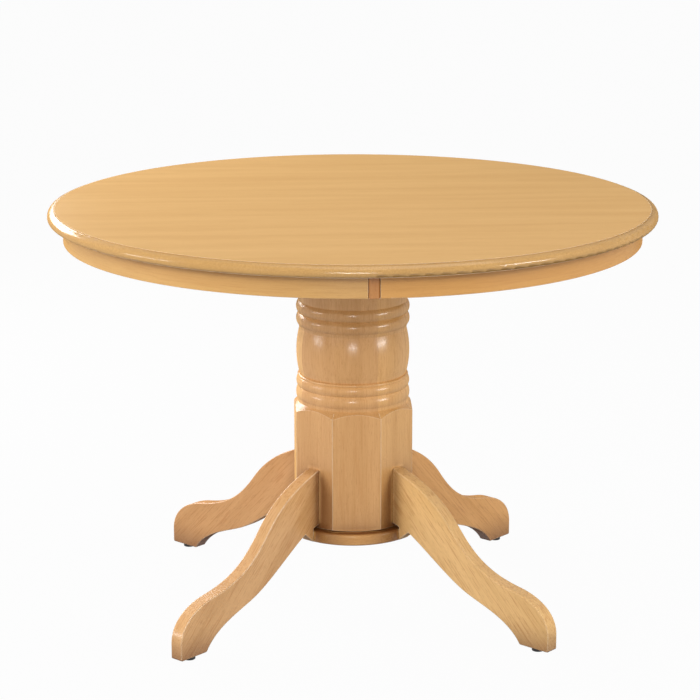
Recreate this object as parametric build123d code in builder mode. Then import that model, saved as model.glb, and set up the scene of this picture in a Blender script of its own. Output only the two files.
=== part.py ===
"""Round pedestal table: moulded top with an apron ring, a coopered column and four S-curved legs.

Millimetres, +Z up. The origin is on the floor, on the column's axis, and the front is -Y.
"""

from build123d import *
import os
from math import cos, dist, radians, sin, tan

os.makedirs("parts", exist_ok=True)

# Overall
table_height = 730.0
top_diameter = 1070.0

# Table top: a board with a moulded edge between two veneers
board_thickness = 19.2
veneer_thickness = 0.6
moulding_width = 12.0  # from the face veneer's edge to the rim
moulding_step = 0.4  # how far the moulding starts below the veneer's seat
upper_round = 11.0  # large radius above the rim
lower_round = 6.5  # small radius below the rim

# Apron ring: four curved segments with a block in each joint
apron_setback = 26.5  # from the top's rim to the apron
apron_thickness = 20.0
apron_height = 37.5
apron_edge_round = 1.5
block_width = 19.5
block_depth = 30.0
block_recess = 1.2  # how far the block's face lies behind the apron's
block_drop = 1.5  # how far the block hangs below the apron
block_edge_round = 3.5

# Mounting plate between the column and the top
plate_side = 400.0
plate_thickness = 18.0
plate_corner_cut = 60.0
plate_bevel = 6.0

# Column: eight staves, turned round above and left eight-sided below
stave_count = 8
column_face = 103.8  # from the axis to an eight-sided face
stave_thickness = 32.0

# Turned work, from the mounting plate down: each part's height
collar_height = 91.6
cove_height = 43.0
bead_height = 22.0
belly_gap_height = 6.0
belly_height = 83.0
belly_sag = 2.5  # how far the fullest point lies below the belly's middle
astragal_height = 5.2
small_bead_height = 17.8
torus_height = 21.5
shoulder_height = 5.4
base_groove_height = 0.4  # upright part of the groove above the ring

# Turned work: how far each part lies inside the eight-sided faces
collar_depth = 0.8
neck_depth = 6.8
bead_depth = 2.6
belly_depth = 2.8
belly_neck_depth = 8.2
astragal_depth = 5.4
torus_depth = 2.2
shoulder_depth = 3.8
base_groove_depth = 2.0
base_groove_slope = 17.0  # the staves' bevelled lower ends, in degrees from level
cove_swell = 1.2  # how far the cove's middle stands outside the neck
astragal_swell = 0.6
lathe_overrun = 1.0  # how far the lathe's cut runs out past the column's corners

# Base ring under the staves
ring_overhang = 16.2  # past the eight-sided faces
ring_lip = 7.8  # how far its bore lies inside the column's hollow
ring_thickness = 21.0
ring_bottom = 134.0
ring_shoulder = 5.0
ring_lower_round = 3.0

# Legs: flat S-curved boards on the four diagonal faces
leg_thickness = 25.0
leg_joint_height = 100.0  # from the notch to the leg's top
leg_edge_round = 1.6
leg_joint_round = 4.0  # on the upright edges against the column
heel_round = 4.0
toe_round = 3.0
foot_reach = 454.0  # from the axis to the toe
foot_length = 61.0  # from the heel to the toe
waist_reach = 236.0
waist_drop = 83.0  # below the leg's top
instep_setback = 79.0  # from the toe back to the instep
instep_height = 99.5
toe_height = 32.0  # where the rounded nose becomes upright
arch_reach = 262.0
arch_height = 77.0
hook_reach = 21.0  # the underside's small hook outside the ring
hook_rise = 18.0
hook_foot_rise = 1.0  # the hook's foot above the ring's underside
notch_clearance = 0.4
notch_headroom = 4.5  # open height above the ring, at its rim
notch_rise = 5.5  # how far the notch climbs from there to the column

# Slopes of a leg's outline, going outwards, in degrees
shoulder_slope = -18.4
waist_slope = -51.0
instep_slope = -9.5
toe_slope = -90.0
hook_slope = -29.5
arch_slope = -27.0
heel_slope = -56.5

# How strongly the outline keeps to each slope, as a share of the curve's span
shoulder_pull = 0.327
waist_pull_in = 0.384
waist_pull_out = 0.334
instep_pull_in = 0.470
instep_pull_out = 0.385
toe_pull = 0.385
hook_pull = 0.309
arch_pull_in = 0.316
arch_pull_out = 0.288
heel_pull = 0.348

# Levelling feet, drawn screwed all the way in
pad_radius = 10.5
pad_height = 5.5
pad_edge_round = 1.0
pad_floor = 1.5  # plastic below the stud
stud_radius = 3.0
stud_length = 29.0
stud_fit = 0.05  # radial room in the insert
stud_clearance = 0.5  # radial room in the foot above the insert
insert_radius = 4.75
insert_length = 13.0
stud_end_gap = 5.0  # left open above the stud
stud_tip_chamfer = 0.8

# Fasteners
hole_fit = 0.05  # radial room of a fastener in the wood that it grips
bolt_radius = 4.0
bolt_grip = 50.0  # length in the leg
bolt_clearance = 0.5  # radial room in the stave
bolt_end = 4.0  # length past the nut
bolt_inset = 25.0  # from the leg's top to the upper bolt
bolt_spacing = 52.0
nut_width = 13.0
nut_thickness = 6.5
washer_radius = 11.0
washer_thickness = 1.6
dowel_radius = 5.0
dowel_half = 20.0
dowel_end_gap = 2.0
screw_radius = 2.2
screw_head_radius = 4.4
screw_head_angle = 82.0
pan_head_height = 2.6
pan_head_round = 1.2
screw_bite = 12.0  # length in the top
stave_screw_bite = 48.0
ring_screw_bite = 30.0
counterbore_radius = 5.5
counterbore_depth = 15.0
plate_screw_inset = 28.0  # from the mounting plate's side
apron_screws_per_segment = 3

# Worked-out sizes
top_radius = top_diameter / 2
veneer_seat = table_height - veneer_thickness
board_bottom = veneer_seat - board_thickness
top_underside = board_bottom - veneer_thickness
moulding_top = veneer_seat - moulding_step
face_veneer_radius = top_radius - moulding_width
back_veneer_radius = top_radius - lower_round
apron_radius = top_radius - apron_setback
apron_bottom = top_underside - apron_height
apron_middle = apron_radius - apron_thickness / 2
block_face = apron_radius - block_recess
block_middle = block_face - block_depth / 2
plate_bottom = top_underside - plate_thickness
plate_screw_radius = plate_side / 2 - plate_screw_inset
ring_top = ring_bottom + ring_thickness
stave_half_angle = 180.0 / stave_count
stave_inner = column_face - stave_thickness
stave_middle = column_face - stave_thickness / 2
column_corner = column_face / cos(radians(stave_half_angle))
ring_radius = column_face + ring_overhang
ring_bore = stave_inner - ring_lip
notch_reach = ring_radius + notch_clearance
notch_rim = ring_top + notch_headroom
notch_top = notch_rim + notch_rise
leg_top = notch_top + leg_joint_height
upper_bolt_height = leg_top - bolt_inset
lower_bolt_height = upper_bolt_height - bolt_spacing
dowel_height = (upper_bolt_height + lower_bolt_height) / 2
heel_reach = foot_reach - foot_length
pad_reach = foot_reach - foot_length / 2
stud_room = pad_floor + stud_length - pad_height + stud_end_gap
screw_head_height = (screw_head_radius - screw_radius) / tan(radians(screw_head_angle / 2))
apron_screw_length = apron_height - counterbore_depth + screw_bite

# Directions seen from above, in degrees from +X
sides = {"right": 0, "back": 90, "left": 180, "front": 270}
corners = {"back_right": 45, "back_left": 135, "front_left": 225, "front_right": 315}
segment_angle = 360 / len(sides)
apron_screw_count = len(sides) * apron_screws_per_segment
apron_screw_angle = 360 / apron_screw_count


def upright_plane(angle):
    """The upright plane through the axis towards angle: x outwards, y up."""
    outward = (cos(radians(angle)), sin(radians(angle)), 0)
    sideways = (sin(radians(angle)), -cos(radians(angle)), 0)
    return Plane(origin=(0, 0, 0), x_dir=outward, z_dir=sideways)


def radial_plane(angle, reach, height):
    """A plane that faces away from the axis, at a distance from it."""
    outward = (cos(radians(angle)), sin(radians(angle)), 0)
    origin = (reach * outward[0], reach * outward[1], height)
    return Plane(origin=origin, x_dir=(0, 0, 1), z_dir=outward)


def inward_plane(angle, reach, height):
    """A plane that faces the axis, at a distance from it."""
    inward = (-cos(radians(angle)), -sin(radians(angle)), 0)
    origin = (-reach * inward[0], -reach * inward[1], height)
    return Plane(origin=origin, x_dir=(0, 0, 1), z_dir=inward)


def turned_plane(angle, height):
    """A level plane with its x towards angle."""
    return Plane(origin=(0, 0, height), x_dir=(cos(radians(angle)), sin(radians(angle)), 0), z_dir=(0, 0, 1))


def downward_plane(height):
    """A level plane that faces the floor."""
    return Plane(origin=(0, 0, height), x_dir=(1, 0, 0), z_dir=(0, 0, -1))


def along(point, slope, run):
    """The point that lies run away at the slope given, in degrees."""
    return (point[0] + run * cos(radians(slope)), point[1] + run * sin(radians(slope)))


def flow_curve(start, start_slope, start_pull, end, end_slope, end_pull):
    """A curve that leaves start and reaches end along their slopes."""
    span = dist(start, end)
    leave = along(start, start_slope, start_pull * span)
    arrive = along(end, end_slope, -end_pull * span)
    return Bezier(start, leave, arrive, end)


def save(piece, name):
    """Label a finished piece and write it to its own file."""
    piece.part.label = name
    export_step(piece.part, f"parts/{name}.step")


def pan_head_screw(length):
    """A screw along +Z whose head hangs below the origin."""
    with BuildPart() as screw:
        with BuildSketch():
            Circle(screw_head_radius)
        extrude(amount=-pan_head_height)
        fillet(screw.edges().group_by(Axis.Z)[0], pan_head_round)
        with BuildSketch():
            Circle(screw_radius)
        extrude(amount=length)
    return screw.part


def countersunk_screw(length):
    """A countersunk screw along +Z, with the flat of its head at the origin."""
    with BuildPart() as screw:
        with BuildSketch(Plane.XZ):
            with BuildLine():
                Polyline(
                    (0, 0),
                    (screw_head_radius, 0),
                    (screw_radius, screw_head_height),
                    (screw_radius, length),
                    (0, length),
                    close=True,
                )
            make_face()
        revolve(axis=Axis.Z)
    return screw.part


# ---------------------------------------------------------------- table top

with BuildPart() as top_board:
    with BuildSketch(Plane.XZ):
        with BuildLine():
            Polyline(
                (top_radius - upper_round, moulding_top),
                (face_veneer_radius, moulding_top),
                (face_veneer_radius, veneer_seat),
                (0, veneer_seat),
                (0, board_bottom),
                (back_veneer_radius, board_bottom),
            )
            CenterArc((back_veneer_radius, board_bottom + lower_round), lower_round, -90, 90)
            Line((top_radius, board_bottom + lower_round), (top_radius, moulding_top - upper_round))
            CenterArc((top_radius - upper_round, moulding_top - upper_round), upper_round, 0, 90)
        make_face()
    revolve(axis=Axis.Z)
    with Locations(downward_plane(board_bottom)):
        with PolarLocations(apron_middle, apron_screw_count, start_angle=apron_screw_angle / 2):
            Hole(screw_radius + hole_fit, depth=screw_bite - veneer_thickness + hole_fit)
        with PolarLocations(block_middle, len(sides)):
            Hole(screw_radius + hole_fit, depth=screw_bite - veneer_thickness + hole_fit)
        with PolarLocations(plate_screw_radius, stave_count, start_angle=stave_half_angle):
            Hole(screw_radius + hole_fit, depth=screw_bite - veneer_thickness + hole_fit)
save(top_board, "top_board")

with BuildPart() as face_veneer:
    with BuildSketch(Plane.XY.offset(veneer_seat)):
        Circle(face_veneer_radius)
    extrude(amount=veneer_thickness)
save(face_veneer, "face_veneer")

with BuildPart() as back_veneer:
    with BuildSketch(Plane.XY.offset(top_underside)):
        Circle(back_veneer_radius)
        with PolarLocations(apron_middle, apron_screw_count, start_angle=apron_screw_angle / 2):
            Circle(screw_radius + hole_fit, mode=Mode.SUBTRACT)
        with PolarLocations(block_middle, len(sides)):
            Circle(screw_radius + hole_fit, mode=Mode.SUBTRACT)
        with PolarLocations(plate_screw_radius, stave_count, start_angle=stave_half_angle):
            Circle(screw_radius + hole_fit, mode=Mode.SUBTRACT)
    extrude(amount=veneer_thickness)
save(back_veneer, "back_veneer")

# ---------------------------------------------------------------- apron ring

for corner, angle in corners.items():
    with BuildPart() as apron:
        with BuildSketch(turned_plane(angle - segment_angle / 2, apron_bottom)):
            Circle(apron_radius)
            Circle(apron_radius - apron_thickness, mode=Mode.SUBTRACT)
            with Locations((block_width / 2, block_width / 2)):
                Rectangle(apron_radius, apron_radius, align=(Align.MIN, Align.MIN), mode=Mode.INTERSECT)
        extrude(amount=apron_height)
        lowest_arcs = apron.edges().group_by(Axis.Z)[0].filter_by(GeomType.CIRCLE)
        fillet(lowest_arcs, apron_edge_round)
        with Locations(downward_plane(apron_bottom)):
            first_screw = (apron_screw_angle - segment_angle) / 2 - angle
            with PolarLocations(apron_middle, apron_screws_per_segment, first_screw, segment_angle):
                CounterBoreHole(screw_radius + hole_fit, counterbore_radius, counterbore_depth)
    save(apron, f"apron_{corner}")

for side, angle in sides.items():
    with BuildPart() as block:
        with BuildSketch(turned_plane(angle, apron_bottom - block_drop)):
            with Locations((block_middle, 0)):
                Rectangle(block_depth, block_width)
        extrude(amount=apron_height + block_drop)
        outward = Axis((0, 0, 0), (cos(radians(angle)), sin(radians(angle)), 0))
        front_face = block.faces().sort_by(outward)[-1]
        exposed_edges = front_face.edges().sort_by(Axis.Z)[:3]
        fillet(exposed_edges, block_edge_round)
        with Locations(downward_plane(apron_bottom - block_drop)):
            with PolarLocations(block_middle, 1, start_angle=-angle):
                CounterBoreHole(screw_radius + hole_fit, counterbore_radius, counterbore_depth + block_drop)
    save(block, f"apron_block_{side}")

# ---------------------------------------------------------------- mounting plate

with BuildPart() as mounting_plate:
    with BuildSketch(Plane.XY.offset(plate_bottom)) as plate_outline:
        Rectangle(plate_side, plate_side)
        chamfer(plate_outline.vertices(), plate_corner_cut)
    extrude(amount=plate_thickness)
    chamfer(mounting_plate.edges().group_by(Axis.Z)[0], plate_bevel)
    with Locations(downward_plane(plate_bottom)):
        with PolarLocations(plate_screw_radius, stave_count, start_angle=stave_half_angle):
            CounterSinkHole(
                screw_radius + hole_fit, screw_head_radius + hole_fit, counter_sink_angle=screw_head_angle
            )
    with Locations(Plane.XY.offset(top_underside)):
        with PolarLocations(stave_middle, stave_count):
            CounterSinkHole(
                screw_radius + hole_fit, screw_head_radius + hole_fit, counter_sink_angle=screw_head_angle
            )
save(mounting_plate, "mounting_plate")

# ---------------------------------------------------------------- column

collar_radius = column_face - collar_depth
neck_radius = column_face - neck_depth
bead_radius = column_face - bead_depth
belly_radius = column_face - belly_depth
belly_neck_radius = column_face - belly_neck_depth
astragal_radius = column_face - astragal_depth
torus_radius = column_face - torus_depth
shoulder_radius = column_face - shoulder_depth
base_groove_radius = column_face - base_groove_depth

collar_bottom = plate_bottom - collar_height
upper_bead_top = collar_bottom - cove_height
lower_bead_top = upper_bead_top - bead_height
lower_bead_bottom = lower_bead_top - bead_height
belly_top = lower_bead_bottom - belly_gap_height
belly_bottom = belly_top - belly_height
small_bead_top = belly_bottom - astragal_height
torus_top = small_bead_top - small_bead_height
torus_bottom = torus_top - torus_height
shoulder_bottom = torus_bottom - shoulder_height
base_groove_top = ring_top + base_groove_height


def swelling(radius_above, top, radius_between, radius_below, bottom, sag=0):
    """An arc on the turned surface that passes through a third radius halfway down, or sag below that."""
    middle = (radius_between, (top + bottom) / 2 - sag)
    return ThreePointArc((radius_above, top), middle, (radius_below, bottom))


def turned_outline():
    """The lathe's cut from the axis to the surface, as a closed line in an upright plane."""
    reach = column_corner + lathe_overrun
    groove_climb = (reach - base_groove_radius) * tan(radians(base_groove_slope))
    Polyline((0, plate_bottom), (collar_radius, plate_bottom), (collar_radius, collar_bottom))
    swelling(collar_radius, collar_bottom, neck_radius + cove_swell, neck_radius, upper_bead_top)
    swelling(neck_radius, upper_bead_top, bead_radius, neck_radius, lower_bead_top)
    swelling(neck_radius, lower_bead_top, bead_radius, neck_radius, lower_bead_bottom)
    Line((neck_radius, lower_bead_bottom), (belly_neck_radius, belly_top))
    swelling(belly_neck_radius, belly_top, belly_radius, belly_neck_radius, belly_bottom, belly_sag)
    astragal_middle = astragal_radius + astragal_swell
    swelling(belly_neck_radius, belly_bottom, astragal_middle, astragal_radius, small_bead_top)
    swelling(astragal_radius, small_bead_top, bead_radius, astragal_radius, torus_top)
    swelling(astragal_radius, torus_top, torus_radius, shoulder_radius, torus_bottom)
    Polyline(
        (shoulder_radius, torus_bottom),
        (shoulder_radius, shoulder_bottom),
        (reach, shoulder_bottom + shoulder_radius - reach),
        (reach, base_groove_top + groove_climb),
        (base_groove_radius, base_groove_top),
        (base_groove_radius, ring_top),
        (0, ring_top),
        (0, plate_bottom),
    )


for name, angle in {**sides, **corners}.items():
    with BuildPart() as stave:
        with BuildSketch(turned_plane(angle, ring_top)):
            edge_slope = tan(radians(stave_half_angle))
            with BuildLine():
                Polyline(
                    (stave_inner, -stave_inner * edge_slope),
                    (column_face, -column_face * edge_slope),
                    (column_face, column_face * edge_slope),
                    (stave_inner, stave_inner * edge_slope),
                    close=True,
                )
            make_face()
        extrude(amount=plate_bottom - ring_top)
        with BuildSketch(upright_plane(angle + stave_half_angle)):
            with BuildLine():
                turned_outline()
            make_face()
        revolve(axis=Axis.Z, mode=Mode.INTERSECT)
        with Locations(Plane.XY.offset(plate_bottom)):
            with PolarLocations(stave_middle, 1, start_angle=angle):
                Hole(screw_radius + hole_fit, depth=stave_screw_bite + hole_fit)
        if name in sides:
            with Locations(downward_plane(ring_top)):
                with PolarLocations(stave_middle, 1, start_angle=-angle):
                    Hole(screw_radius + hole_fit, depth=ring_screw_bite + hole_fit)
        else:
            with Locations(
                radial_plane(angle, column_face, upper_bolt_height),
                radial_plane(angle, column_face, lower_bolt_height),
            ):
                Hole(bolt_radius + bolt_clearance, depth=stave_thickness)
            with Locations(radial_plane(angle, column_face, dowel_height)):
                Hole(dowel_radius + hole_fit, depth=dowel_half + dowel_end_gap)
    save(stave, f"column_stave_{name}")

with BuildPart() as base_ring:
    with BuildSketch(Plane.XZ):
        with BuildLine():
            Polyline(
                (ring_radius - ring_shoulder, ring_top),
                (ring_bore, ring_top),
                (ring_bore, ring_bottom),
                (ring_radius - ring_lower_round, ring_bottom),
            )
            lower_centre = (ring_radius - ring_lower_round, ring_bottom + ring_lower_round)
            CenterArc(lower_centre, ring_lower_round, -90, 90)
            Line((ring_radius, ring_bottom + ring_lower_round), (ring_radius, ring_top - ring_shoulder))
            CenterArc((ring_radius - ring_shoulder, ring_top - ring_shoulder), ring_shoulder, 0, 90)
        make_face()
    revolve(axis=Axis.Z)
    with Locations(downward_plane(ring_bottom)):
        with PolarLocations(stave_middle, len(sides)):
            CounterSinkHole(
                screw_radius + hole_fit, screw_head_radius + hole_fit, counter_sink_angle=screw_head_angle
            )
save(base_ring, "base_ring")

# ---------------------------------------------------------------- legs

hook_foot_height = ring_bottom + hook_foot_rise
shoulder = (column_face, leg_top)
waist = (waist_reach, leg_top - waist_drop)
instep = (foot_reach - instep_setback, instep_height)
toe = (foot_reach, toe_height)
toe_foot = (foot_reach, pad_height)
heel = (heel_reach, pad_height)
arch = (arch_reach, arch_height)
hook_foot = (notch_reach, hook_foot_height)
hook_top = (notch_reach + hook_reach, hook_foot_height + hook_rise)

for corner, angle in corners.items():
    with BuildPart() as leg:
        with BuildSketch(upright_plane(angle)) as outline:
            with BuildLine():
                flow_curve(shoulder, shoulder_slope, shoulder_pull, waist, waist_slope, waist_pull_in)
                flow_curve(waist, waist_slope, waist_pull_out, instep, instep_slope, instep_pull_in)
                flow_curve(instep, instep_slope, instep_pull_out, toe, toe_slope, toe_pull)
                Polyline(toe, toe_foot, heel)
                flow_curve(arch, arch_slope, arch_pull_out, heel, heel_slope, heel_pull)
                flow_curve(hook_top, hook_slope, hook_pull, arch, arch_slope, arch_pull_in)
                Polyline(hook_top, hook_foot, (notch_reach, notch_rim), (column_face, notch_top), shoulder)
            make_face()
            fillet(outline.vertices().sort_by_distance(heel)[0], heel_round)
            fillet(outline.vertices().sort_by_distance(toe_foot)[0], toe_round)
        extrude(amount=leg_thickness / 2, both=True)
        outward = Axis((0, 0, 0), (cos(radians(angle)), sin(radians(angle)), 0))
        fillet(leg.edges().filter_by(Axis.Z).group_by(outward)[0], leg_joint_round)
        side_faces = leg.faces().sort_by(SortBy.AREA)[-2:]
        edge_start = notch_reach + leg_edge_round
        middles = {edge: (edge @ 0.5).dot(outward.direction) for edge in side_faces.edges()}
        fillet([edge for edge, middle in middles.items() if middle > edge_start], leg_edge_round)
        with Locations(
            inward_plane(angle, column_face, upper_bolt_height),
            inward_plane(angle, column_face, lower_bolt_height),
        ):
            Hole(bolt_radius + hole_fit, depth=bolt_grip + hole_fit)
        with Locations(inward_plane(angle, column_face, dowel_height)):
            Hole(dowel_radius + hole_fit, depth=dowel_half + dowel_end_gap)
        with Locations(downward_plane(pad_height)):
            with PolarLocations(pad_reach, 1, start_angle=-angle):
                CounterBoreHole(
                    stud_radius + stud_clearance, insert_radius + hole_fit, insert_length, stud_room
                )
    save(leg, f"leg_{corner}")

# ---------------------------------------------------------------- levelling feet

for corner, angle in corners.items():
    foot_plane = turned_plane(angle, 0)
    with BuildPart() as pad:
        with BuildSketch(foot_plane):
            with Locations((pad_reach, 0)):
                Circle(pad_radius)
        extrude(amount=pad_height)
        fillet(pad.edges().group_by(Axis.Z)[0], pad_edge_round)
        with BuildSketch(foot_plane.offset(pad_floor)):
            with Locations((pad_reach, 0)):
                Circle(stud_radius)
        extrude(amount=pad_height, mode=Mode.SUBTRACT)
    save(pad, f"foot_pad_{corner}")

    with BuildPart() as stud:
        with BuildSketch(foot_plane.offset(pad_floor)):
            with Locations((pad_reach, 0)):
                Circle(stud_radius)
        extrude(amount=stud_length)
        chamfer(stud.edges().group_by(Axis.Z)[-1], stud_tip_chamfer)
    save(stud, f"foot_stud_{corner}")

with BuildPart() as foot_inserts:
    with BuildSketch(Plane.XY.offset(pad_height)):
        with PolarLocations(pad_reach, len(corners), start_angle=segment_angle / 2):
            Circle(insert_radius)
            Circle(stud_radius + stud_fit, mode=Mode.SUBTRACT)
    extrude(amount=insert_length)
save(foot_inserts, "foot_inserts")

# ---------------------------------------------------------------- leg fasteners

washer_seat = stave_inner - washer_thickness
nut_seat = washer_seat - nut_thickness
bolt_tip = nut_seat - bolt_end
bolt_heights = (lower_bolt_height, upper_bolt_height)
bolt_planes = [(angle, height) for angle in corners.values() for height in bolt_heights]

with BuildPart() as leg_bolts:
    with Locations(*[radial_plane(angle, bolt_tip, height) for angle, height in bolt_planes]):
        Cylinder(
            bolt_radius,
            column_face + bolt_grip - bolt_tip,
            align=(Align.CENTER, Align.CENTER, Align.MIN),
        )
save(leg_bolts, "leg_bolts")

with BuildPart() as leg_washers:
    for angle, height in bolt_planes:
        with BuildSketch(radial_plane(angle, washer_seat, height)):
            Circle(washer_radius)
            Circle(bolt_radius + hole_fit, mode=Mode.SUBTRACT)
        extrude(amount=washer_thickness)
save(leg_washers, "leg_washers")

with BuildPart() as leg_nuts:
    for angle, height in bolt_planes:
        with BuildSketch(radial_plane(angle, nut_seat, height)):
            RegularPolygon(nut_width / 2, 6, major_radius=False)
            Circle(bolt_radius + hole_fit, mode=Mode.SUBTRACT)
        extrude(amount=nut_thickness)
save(leg_nuts, "leg_nuts")

with BuildPart() as leg_dowels:
    with Locations(*[radial_plane(angle, column_face, dowel_height) for angle in corners.values()]):
        Cylinder(dowel_radius, 2 * dowel_half)
save(leg_dowels, "leg_dowels")

# ---------------------------------------------------------------- screws

with BuildPart() as apron_screws:
    with Locations(Plane.XY.offset(apron_bottom + counterbore_depth)):
        with PolarLocations(apron_middle, apron_screw_count, start_angle=apron_screw_angle / 2):
            add(pan_head_screw(apron_screw_length))
        with PolarLocations(block_middle, len(sides)):
            add(pan_head_screw(apron_screw_length))
save(apron_screws, "apron_screws")

with BuildPart() as plate_screws:
    with Locations(Plane.XY.offset(plate_bottom)):
        with PolarLocations(plate_screw_radius, stave_count, start_angle=stave_half_angle):
            add(countersunk_screw(plate_thickness + screw_bite))
save(plate_screws, "plate_screws")

with BuildPart() as stave_screws:
    with Locations(downward_plane(top_underside)):
        with PolarLocations(stave_middle, stave_count):
            add(countersunk_screw(plate_thickness + stave_screw_bite))
save(stave_screws, "stave_screws")

with BuildPart() as ring_screws:
    with Locations(Plane.XY.offset(ring_bottom)):
        with PolarLocations(stave_middle, len(sides)):
            add(countersunk_screw(ring_thickness + ring_screw_bite))
save(ring_screws, "ring_screws")
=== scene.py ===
"""Looks for the round pedestal table: lacquered wood, fibreboard, steel, brass and plastic.

Metres, +Z up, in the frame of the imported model, whose nodes keep their places.
"""

from math import cos, radians, sin

import bpy
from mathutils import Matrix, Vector


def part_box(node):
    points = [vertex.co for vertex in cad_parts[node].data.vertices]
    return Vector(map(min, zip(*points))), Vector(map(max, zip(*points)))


SIDES = {"right": 0, "back": 90, "left": 180, "front": 270}
CORNERS = {"back_right": 45, "back_left": 135, "front_left": 225, "front_right": 315}

X_AXIS = (1, 0, 0)
Y_AXIS = (0, 1, 0)
Z_AXIS = (0, 0, 1)

# Lacquer over wood and fibreboard: its roughness, and how strong it is seen square on and at a grazing angle
SATIN = (0.30, 0.6, 0.03)
LACQUER = (0.23, 0.85, 0.10)
THICK_LACQUER = (0.14, 0.9, 0.12)

SHOULDER_HEIGHT = 0.371  # where the column's eight-sided part ends and the turned work begins
# Painted shade darkens corners and places under other pieces; grooves narrower than this reach get none
PAINTED_SHADE_NEAR_REACH = 0.008  # grooves narrower than this keep their colour
GRAIN_FALL = 45  # how steeply the grain of a leg's board runs down and outwards, in degrees

# How far the pale and the deep streaks of one board lie from its tone, in display levels
PALE_STEP = 8
DEEP_STEP = 12


def colour(red, green, blue):
    """A display colour, 0 to 255, as the linear values that shaders take."""
    shares = [value / 255 for value in (red, green, blue)]
    linear = [s / 12.92 if s <= 0.04045 else ((s + 0.055) / 1.055) ** 2.4 for s in shares]
    return (*linear, 1.0)


def streak_pair(tone):
    """The pale and the deep colour of a board from its middle tone."""
    return colour(*[value + PALE_STEP for value in tone]), colour(*[value - DEEP_STEP for value in tone])


LINE_COLOUR = colour(168, 108, 54)
FLECK_COLOUR = colour(140, 86, 40)
# The deep brown of the painted shade in corners and under other pieces
PAINTED_SHADE_COLOUR = colour(102, 55, 20)
# The near white of the painted highlight on rounded arrises
ARRIS_HIGHLIGHT_COLOUR = colour(255, 242, 216)


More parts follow.
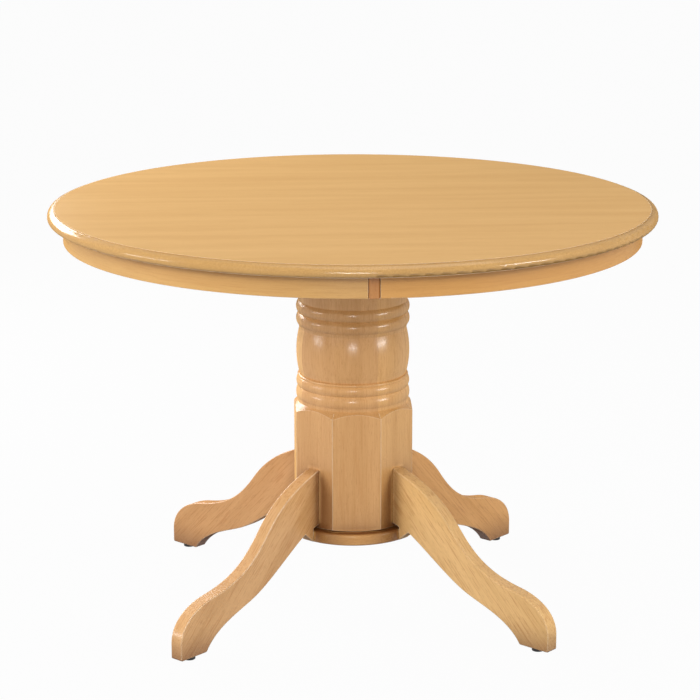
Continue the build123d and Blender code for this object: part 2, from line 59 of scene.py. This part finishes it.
class Look:
    """One material and the nodes that shade it."""

    def __init__(self, name):
        self.material = bpy.data.materials.new(name)
        self.material.use_nodes = True
        self.tree = self.material.node_tree
        self.surface = self.tree.nodes["Principled BSDF"]
        self.place = self.add("ShaderNodeTexCoord").outputs["Object"]
        self.rounded = None

    def add(self, kind, **settings):
        node = self.tree.nodes.new(kind)
        for key, value in settings.items():
            setattr(node, key, value)
        return node

    def feed(self, socket, value):
        """Link another node's output to a socket, or set a plain value on it."""
        if isinstance(value, bpy.types.NodeSocket):
            self.tree.links.new(value, socket)
        else:
            socket.default_value = value

    def math(self, operation, first, second=0.0):
        node = self.add("ShaderNodeMath", operation=operation)
        self.feed(node.inputs[0], first)
        self.feed(node.inputs[1], second)
        return node.outputs[0]

    def vector(self, operation, first, second=(0, 0, 0), output=0):
        node = self.add("ShaderNodeVectorMath", operation=operation)
        self.feed(node.inputs[0], first)
        self.feed(node.inputs[1], second)
        return node.outputs[output]

    def split(self, vector):
        node = self.add("ShaderNodeSeparateXYZ")
        self.feed(node.inputs[0], vector)
        return node.outputs

    def combine(self, x, y, z):
        node = self.add("ShaderNodeCombineXYZ")
        for socket, value in zip(node.inputs, (x, y, z)):
            self.feed(socket, value)
        return node.outputs[0]

    def noise(self, vector, scales, detail=2.0, roughness=0.5, distortion=0.0):
        """Noise from 0 to 1, with its cycles per metre along each axis of the vector."""
        node = self.add("ShaderNodeTexNoise")
        self.feed(node.inputs["Vector"], self.vector("MULTIPLY", vector, scales))
        node.inputs["Scale"].default_value = 1.0
        node.inputs["Detail"].default_value = detail
        node.inputs["Roughness"].default_value = roughness
        node.inputs["Distortion"].default_value = distortion
        return node.outputs["Fac"]

    def spread(self, value, low, high, to_low=0.0, to_high=1.0):
        """The value from low to high, clamped and spread over another range."""
        node = self.add("ShaderNodeMapRange")
        for socket, number in zip(node.inputs, (value, low, high, to_low, to_high)):
            self.feed(socket, number)
        return node.outputs[0]

    def blend(self, share, first, second):
        node = self.add("ShaderNodeMix", data_type="RGBA")
        self.feed(node.inputs[0], share)
        self.feed(node.inputs[6], first)
        self.feed(node.inputs[7], second)
        return node.outputs[2]

    def edges(self, radius, rounding=1.0):
        """Round the edges off where rounding is 1; gives 1 on such an edge and 0 away from it."""
        bevel = self.add("ShaderNodeBevel", samples=4)
        bevel.inputs["Radius"].default_value = radius
        normal = self.add("ShaderNodeNewGeometry").outputs["Normal"]
        mix = self.add("ShaderNodeMix", data_type="VECTOR")
        self.feed(mix.inputs[0], rounding)
        self.feed(mix.inputs[4], normal)
        self.feed(mix.inputs[5], bevel.outputs[0])
        self.rounded = self.vector("NORMALIZE", mix.outputs[1])
        return self.spread(self.vector("DOT_PRODUCT", self.rounded, normal, 1), 0.99, 0.85)

    def opening(self, reach):
        """How much of the space within reach is open, from 0 to 1."""
        node = self.add("ShaderNodeAmbientOcclusion", samples=5)
        node.inputs["Distance"].default_value = reach
        return node.outputs["AO"]

    def corners(self, near, far, closed):
        """Mask for painted shade: 1 in a corner or under another piece, 0 in the open and in grooves narrower
        than the near reach.
        """
        near_opening = self.math("MAXIMUM", self.opening(near), 0.1)
        return self.spread(self.math("DIVIDE", self.opening(far), near_opening), 0.95, closed)

    def turned(self, share=1.0):
        """The surface's normal as the lathe leaves it: without any part round the table's axis."""
        normal = self.add("ShaderNodeNewGeometry").outputs["Normal"]
        x, y, _ = self.split(self.place)
        away = self.vector("NORMALIZE", self.combine(x, y, 0.0))
        reach = self.vector("DOT_PRODUCT", away, normal, 1)
        _, _, rise = self.split(normal)
        outwards = self.vector("MULTIPLY", away, self.combine(reach, reach, 0.0))
        round_normal = self.vector("ADD", outwards, self.combine(0.0, 0.0, rise))
        mix = self.add("ShaderNodeMix", data_type="VECTOR")
        self.feed(mix.inputs[0], share)
        self.feed(mix.inputs[4], normal)
        self.feed(mix.inputs[5], round_normal)
        return self.vector("NORMALIZE", mix.outputs[1])

    def bump(self, height, depth, strength):
        node = self.add("ShaderNodeBump")
        self.feed(node.inputs["Height"], height)
        node.inputs["Distance"].default_value = depth
        node.inputs["Strength"].default_value = strength
        if self.rounded:
            self.feed(node.inputs["Normal"], self.rounded)
        self.feed(self.surface.inputs["Normal"], node.outputs[0])

    def lacquer(self, roughness, square_on, grazing):
        """A clear coat that thins out towards grazing angles, so that the wood keeps its colour there."""
        facing = self.add("ShaderNodeLayerWeight").outputs["Facing"]
        self.feed(self.surface.inputs["Coat Weight"], self.spread(facing, 0.4, 0.85, square_on, grazing))
        self.surface.inputs["Coat Roughness"].default_value = roughness

    def finish(self, base, roughness, sockets):
        self.feed(self.surface.inputs["Base Color"], base)
        self.feed(self.surface.inputs["Roughness"], roughness)
        for socket, value in sockets.items():
            self.surface.inputs[socket].default_value = value
        return self.material


def grain_along(look, along, across, through):
    """Coordinates in metres along, across and through the grain."""
    axes = (along, across, through)
    return look.combine(*[look.vector("DOT_PRODUCT", look.place, axis, 1) for axis in axes])


def grain_round(look, radius):
    """Coordinates in metres round the table's axis, up it and away from it."""
    x, y, z = look.split(look.place)
    turn = look.math("ARCTAN2", y, x)
    flat = look.vector("LENGTH", look.combine(x, y, 0.0), output=1)
    return look.combine(look.math("MULTIPLY", turn, radius), z, flat)


# The corner pair gives the far reach and the openness at which the painted shade is full
def wood(look, grain, pale, deep, seed=0.0, streaks=0.5, lines=0.15, flecks=1.0, board_width=0.0,
         rounding=1.0, arris=0.0012, wear=0.7, corner=(0.12, 0.4), coat=LACQUER):
    """Lacquered wood: broad tone, growth streaks, fine fibres and dark vessel flecks, with painted shade in
    corners and a painted highlight on the arrises.
    """
    place = look.vector("ADD", grain, (seed, 1.7 * seed, 2.3 * seed))
    broad = look.noise(place, (2.5, 26, 26), detail=3.0, distortion=0.4)
    streak = look.noise(place, (6, 230, 230), detail=3.0, roughness=0.6)
    line = look.spread(look.noise(place, (16, 400, 400), detail=2.0), 0.54, 0.64)
    fibre = look.noise(place, (30, 900, 900))
    fleck = look.spread(look.noise(place, (85, 620, 620), detail=1.0), 0.60, 0.72)
    tone = look.math("ADD", look.spread(broad, 0.3, 0.7), look.spread(streak, 0.3, 0.7, 0.0, streaks))
    if board_width:
        board = look.math("FLOOR", look.math("DIVIDE", look.split(place)[1], board_width))
        chance = look.add("ShaderNodeTexWhiteNoise", noise_dimensions="1D")
        look.feed(chance.inputs["W"], board)
        tone = look.math("ADD", tone, look.spread(chance.outputs["Value"], 0, 1, -0.45, 0.45))
    body = look.blend(look.spread(tone, 0.0, 1.0 + streaks), pale, deep)
    body = look.blend(look.spread(fibre, 0.35, 0.65, 0.0, 0.25), body, deep)
    body = look.blend(look.math("MULTIPLY", line, lines), body, LINE_COLOUR)
    body = look.blend(look.math("MULTIPLY", fleck, 0.28 * flecks), body, FLECK_COLOUR)
    # Painted shade: corners and places under other pieces darkened towards deep brown
    body = look.blend(look.math("MULTIPLY", look.corners(PAINTED_SHADE_NEAR_REACH, *corner), 0.92), body, PAINTED_SHADE_COLOUR)
    # Painted highlight: the rounded arrises blended towards near white, at the strength given for each wood
    body = look.blend(look.math("MULTIPLY", look.edges(arris, rounding), wear), body, ARRIS_HIGHLIGHT_COLOUR)
    look.bump(look.math("SUBTRACT", fibre, look.math("MULTIPLY", fleck, 0.6)), 0.00012, 0.4)
    look.lacquer(*coat)
    return look.finish(body, look.spread(broad, 0.3, 0.7, 0.5, 0.6), {"Specular IOR Level": 0.0})


def wood_along(name, along, across, through, pale, deep, **figure):
    look = Look(name)
    return wood(look, grain_along(look, along, across, through), pale, deep, **figure)


def wood_round(name, radius, pale, deep, **figure):
    look = Look(name)
    return wood(look, grain_round(look, radius), pale, deep, **figure)


def stave_wood(name, angle, pale, deep, seed):
    """A stave's wood; the turned work runs smoothly over the joints, so only the arrises below are eased."""
    look = Look(name)
    below = look.math("LESS_THAN", look.split(look.place)[2], SHOULDER_HEIGHT)
    look.feed(look.surface.inputs["Coat Normal"], look.turned(look.math("SUBTRACT", 1.0, below)))
    grain = grain_along(look, Z_AXIS, sideways(angle), outward(angle))
    return wood(look, grain, pale, deep, seed=seed, streaks=0.5, lines=0.2, flecks=0.8, rounding=below,
                arris=0.0015, wear=0.45, corner=(0.12, 0.5))


def fibreboard(name, pale, deep):
    """The moulded edge of the board: lacquered fibres with a fine even mottle."""
    look = Look(name)
    mottle = look.noise(look.place, (420, 420, 520), detail=3.0, roughness=0.65)
    cloud = look.noise(look.place, (9, 9, 30), detail=2.0)
    body = look.blend(look.spread(mottle, 0.3, 0.7), pale, deep)
    body = look.blend(look.spread(cloud, 0.35, 0.65, 0.0, 0.35), body, deep)
    look.bump(mottle, 0.0001, 0.25)
    look.lacquer(*THICK_LACQUER)
    look.feed(look.surface.inputs["Coat Normal"], look.turned())
    return look.finish(body, look.spread(cloud, 0.3, 0.7, 0.4, 0.5), {"Specular IOR Level": 0.0})


def metal(name, pale, deep, roughness):
    """Plated metal with fine turning marks and dulled patches."""
    look = Look(name)
    marks = look.noise(look.place, (900, 900, 2600), detail=2.0)
    patch = look.noise(look.place, (120, 120, 120), detail=2.0)
    body = look.blend(look.spread(patch, 0.35, 0.65), pale, deep)
    look.bump(marks, 0.00003, 0.3)
    return look.finish(body, look.spread(patch, 0.3, 0.7, roughness, roughness + 0.15), {"Metallic": 1.0})


def plastic(name, pale, deep):
    """Moulded plastic with a fine spark texture and scuffed edges."""
    look = Look(name)
    spark = look.noise(look.place, (1500, 1500, 1500), detail=1.0)
    scuff = look.noise(look.place, (160, 160, 400), detail=3.0)
    body = look.blend(look.spread(scuff, 0.4, 0.7), deep, pale)
    body = look.blend(look.math("MULTIPLY", look.edges(0.0008), 0.5), body, pale)
    look.bump(spark, 0.00005, 0.4)
    return look.finish(body, look.spread(scuff, 0.3, 0.7, 0.42, 0.58), {"Specular IOR Level": 0.4})


def dress(node, material):
    """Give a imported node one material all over."""
    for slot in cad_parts[node].material_slots:
        slot.material = material


def outward(angle):
    return (cos(radians(angle)), sin(radians(angle)), 0)


def sideways(angle):
    return (-sin(radians(angle)), cos(radians(angle)), 0)


def dress_top():
    dress("face_veneer", wood_along("face_veneer_wood", X_AXIS, Y_AXIS, Z_AXIS,
                                    colour(216, 174, 116), colour(207, 163, 105),
                                    streaks=0.18, lines=0.06, flecks=0.2, arris=0.002, wear=0.8, coat=SATIN))
    dress("back_veneer", wood_along("back_veneer_wood", X_AXIS, Y_AXIS, Z_AXIS,
                                    colour(214, 174, 124), colour(196, 152, 102), seed=3.1, streaks=0.6))
    dress("top_board", fibreboard("lacquered_fibreboard", colour(198, 155, 92), colour(170, 128, 70)))


def dress_apron():
    tones = {"front_left": (colour(212, 168, 103), colour(199, 152, 89)),
             "front_right": (colour(216, 163, 93), colour(203, 148, 80)),
             "back_right": (colour(218, 166, 102), colour(200, 146, 84)),
             "back_left": (colour(214, 162, 100), colour(196, 142, 82))}
    apron_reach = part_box("apron_block_right")[1][0]
    for number, (corner, (pale, deep)) in enumerate(tones.items()):
        dress(f"apron_{corner}", wood_round(f"apron_wood_{corner}", apron_reach, pale, deep,
                                            seed=1.3 * number, flecks=0.3))
    for number, (side, angle) in enumerate(SIDES.items()):
        dress(f"apron_block_{side}",
              wood_along(f"block_wood_{side}", Z_AXIS, sideways(angle), outward(angle),
                         colour(200, 142, 82), colour(180, 120, 64), seed=2.0 + number))


def dress_column():
    # Each stave's tone is partly its own wood and partly painted light: the left and right staves are lighter
    # because the sides are lit more brightly than the front
    tones = {"front": (199, 151, 97), "front_right": (210, 162, 103), "right": (226, 178, 116),
             "back_right": (206, 155, 96), "back": (200, 147, 90), "back_left": (204, 153, 94),
             "left": (218, 172, 114), "front_left": (203, 155, 102)}
    for number, (place, tone) in enumerate(tones.items()):
        angle = {**SIDES, **CORNERS}[place]
        pale, deep = streak_pair(tone)
        dress(f"column_stave_{place}", stave_wood(f"stave_wood_{place}", angle, pale, deep, 0.7 * number))
    dress("base_ring", wood_along("ring_wood", X_AXIS, Y_AXIS, Z_AXIS,
                                  colour(216, 166, 104), colour(198, 146, 84), seed=5.0, corner=(0.16, 0.75)))
    dress("mounting_plate", wood_along("plate_wood", X_AXIS, Y_AXIS, Z_AXIS,
                                       colour(206, 160, 110), colour(184, 138, 90),
                                       seed=6.0, board_width=0.07))


def dress_legs():
    # Each leg's tone is partly its own wood and partly painted light: the front right leg is lighter to stand
    # in for the brighter light on its face
    tones = {"front_left": (204, 158, 106), "front_right": (220, 177, 117),
             "back_left": (200, 149, 96), "back_right": (213, 157, 92)}
    fall = radians(GRAIN_FALL)
    for number, (corner, tone) in enumerate(tones.items()):
        out = Vector(outward(CORNERS[corner]))
        along = out * cos(fall) - Vector(Z_AXIS) * sin(fall)
        across = out * sin(fall) + Vector(Z_AXIS) * cos(fall)
        pale, deep = streak_pair(tone)
        dress(f"leg_{corner}", wood_along(f"leg_wood_{corner}", along, across, sideways(CORNERS[corner]),
                                          pale, deep, seed=0.9 * number, board_width=0.062, lines=0.42,
                                          arris=0.0024, wear=0.85, corner=(0.06, 0.4)))


def dress_fittings():
    black = plastic("black_plastic", colour(46, 44, 42), colour(24, 23, 22))
    steel = metal("plated_steel", colour(196, 192, 182), colour(150, 146, 138), 0.28)
    brass = metal("cast_brass", colour(206, 172, 96), colour(160, 124, 62), 0.30)
    beech = wood_along("dowel_wood", X_AXIS, Y_AXIS, Z_AXIS, colour(222, 184, 138), colour(202, 160, 112))
    for corner in CORNERS:
        dress(f"foot_pad_{corner}", black)
        dress(f"foot_stud_{corner}", steel)
    for node in ("leg_bolts", "leg_washers", "leg_nuts", "apron_screws", "plate_screws", "stave_screws",
                 "ring_screws"):
        dress(node, steel)
    dress("foot_inserts", brass)
    dress("leg_dowels", beech)


def white_to_the_camera(tree, lit, share):
    """Mix plain white into a surface or background where the camera, gloss or glass looks at it."""
    rays = tree.nodes.new("ShaderNodeLightPath")
    seen = rays.outputs["Is Camera Ray"]
    for kind in ("Is Glossy Ray", "Is Transmission Ray"):
        either = tree.nodes.new("ShaderNodeMath")
        either.operation = "MAXIMUM"
        tree.links.new(seen, either.inputs[0])
        tree.links.new(rays.outputs[kind], either.inputs[1])
        seen = either.outputs[0]
    scaled = tree.nodes.new("ShaderNodeMath")
    scaled.operation = "MULTIPLY"
    tree.links.new(seen, scaled.inputs[0])
    scaled.inputs[1].default_value = share
    mix = tree.nodes.new("ShaderNodeMixShader")
    tree.links.new(scaled.outputs[0], mix.inputs[0])
    tree.links.new(lit, mix.inputs[1])
    return mix


def make_floor():
    """A pale floor that shows only its upper side, so that the table can be seen from below."""
    bpy.ops.mesh.primitive_plane_add(size=80)
    floor = bpy.context.object
    floor.name = "floor"
    material = bpy.data.materials.new("pale_floor")
    material.use_nodes = True
    tree = material.node_tree
    surface = tree.nodes["Principled BSDF"]
    surface.inputs["Base Color"].default_value = (0.25, 0.25, 0.25, 1)
    surface.inputs["Roughness"].default_value = 0.9
    surface.inputs["Specular IOR Level"].default_value = 0.1
    white = tree.nodes.new("ShaderNodeEmission")
    mix = white_to_the_camera(tree, surface.outputs[0], 0.97)
    tree.links.new(white.outputs[0], mix.inputs[2])
    one_sided = tree.nodes.new("ShaderNodeMixShader")
    tree.links.new(tree.nodes.new("ShaderNodeNewGeometry").outputs["Backfacing"], one_sided.inputs[0])
    tree.links.new(mix.outputs[0], one_sided.inputs[1])
    tree.links.new(tree.nodes.new("ShaderNodeBsdfTransparent").outputs[0], one_sided.inputs[2])
    tree.links.new(one_sided.outputs[0], tree.nodes["Material Output"].inputs["Surface"])
    floor.data.materials.append(material)


def make_world(strength):
    """Faint even light, in front of a white background."""
    world = bpy.data.worlds.new("studio")
    bpy.context.scene.world = world
    world.use_nodes = True
    tree = world.node_tree
    soft = tree.nodes["Background"]
    soft.inputs["Color"].default_value = (1, 1, 1, 1)
    soft.inputs["Strength"].default_value = strength
    white = tree.nodes.new("ShaderNodeBackground")
    white.inputs["Color"].default_value = (1, 1, 1, 1)
    mix = white_to_the_camera(tree, soft.outputs[0], 1.0)
    tree.links.new(white.outputs[0], mix.inputs[2])
    tree.links.new(mix.outputs[0], tree.nodes["World Output"].inputs["Surface"])


def softbox(name, turn, distance, height, size, power, aim_height=0.45, glint=True):
    """A soft lamp that stands round the table at an angle from the front and faces it."""
    data = bpy.data.lights.new(name, "AREA")
    data.shape = "RECTANGLE"
    data.size, data.size_y = size
    data.energy = power
    lamp = bpy.data.objects.new(name, data)
    lamp.location = (distance * sin(radians(turn)), -distance * cos(radians(turn)), height)
    facing = Vector((0, 0, aim_height)) - lamp.location
    lamp.rotation_euler = facing.to_track_quat("-Z", "Y").to_euler()
    lamp.visible_glossy = glint
    bpy.context.scene.collection.objects.link(lamp)


def make_lights():
    softbox("left_softbox", -80, 6.0, 0.9, (2.2, 0.65), 46)
    softbox("left_fill", -74, 2.8, 1.5, (1.2, 0.8), 36, glint=False)
    softbox("left_front_fill", -38, 2.8, 1.3, (1.0, 1.0), 20, glint=False)
    softbox("left_high_fill", -130, 2.4, 1.9, (1.4, 2.0), 28, glint=False)
    softbox("left_back_softbox", -145, 2.6, 1.35, (1.9, 0.9), 64)
    softbox("right_softbox", 58, 6.0, 0.95, (2.0, 0.55), 92)
    softbox("right_fill", 70, 2.8, 1.5, (1.2, 0.8), 34, glint=False)
    softbox("front_fill", -4, 4.6, 2.6, (1.6, 1.0), 62, glint=False)
    softbox("front_softbox", -4, 4.6, 0.78, (1.1, 0.28), 33)
    softbox("top_softbox", 30, 0.8, 3.1, (2.4, 2.4), 29, aim_height=0.7)


def make_camera(distance, height, turn, pitch, lens, shift):
    data = bpy.data.cameras.new("camera")
    data.lens = lens
    data.sensor_width = 36
    data.shift_x = shift
    camera = bpy.data.objects.new("camera", data)
    camera.location = (distance * sin(radians(turn)), -distance * cos(radians(turn)), height)
    camera.rotation_euler = (radians(90 - pitch), 0, radians(turn))
    bpy.context.scene.collection.objects.link(camera)
    bpy.context.scene.camera = camera


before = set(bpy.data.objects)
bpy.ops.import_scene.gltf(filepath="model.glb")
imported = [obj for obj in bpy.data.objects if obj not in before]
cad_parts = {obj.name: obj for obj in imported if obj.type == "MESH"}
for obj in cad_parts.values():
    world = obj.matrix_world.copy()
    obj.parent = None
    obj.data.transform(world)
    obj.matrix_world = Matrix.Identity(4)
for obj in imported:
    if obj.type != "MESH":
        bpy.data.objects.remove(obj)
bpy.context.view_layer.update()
dress_top()
dress_apron()
dress_column()
dress_legs()
dress_fittings()
make_floor()
make_world(0.05)
make_lights()
make_camera(distance=4.133, height=1.5, turn=-3.8, pitch=14.09, lens=122.5, shift=-0.004)
bpy.context.scene.view_settings.view_transform = "Standard"
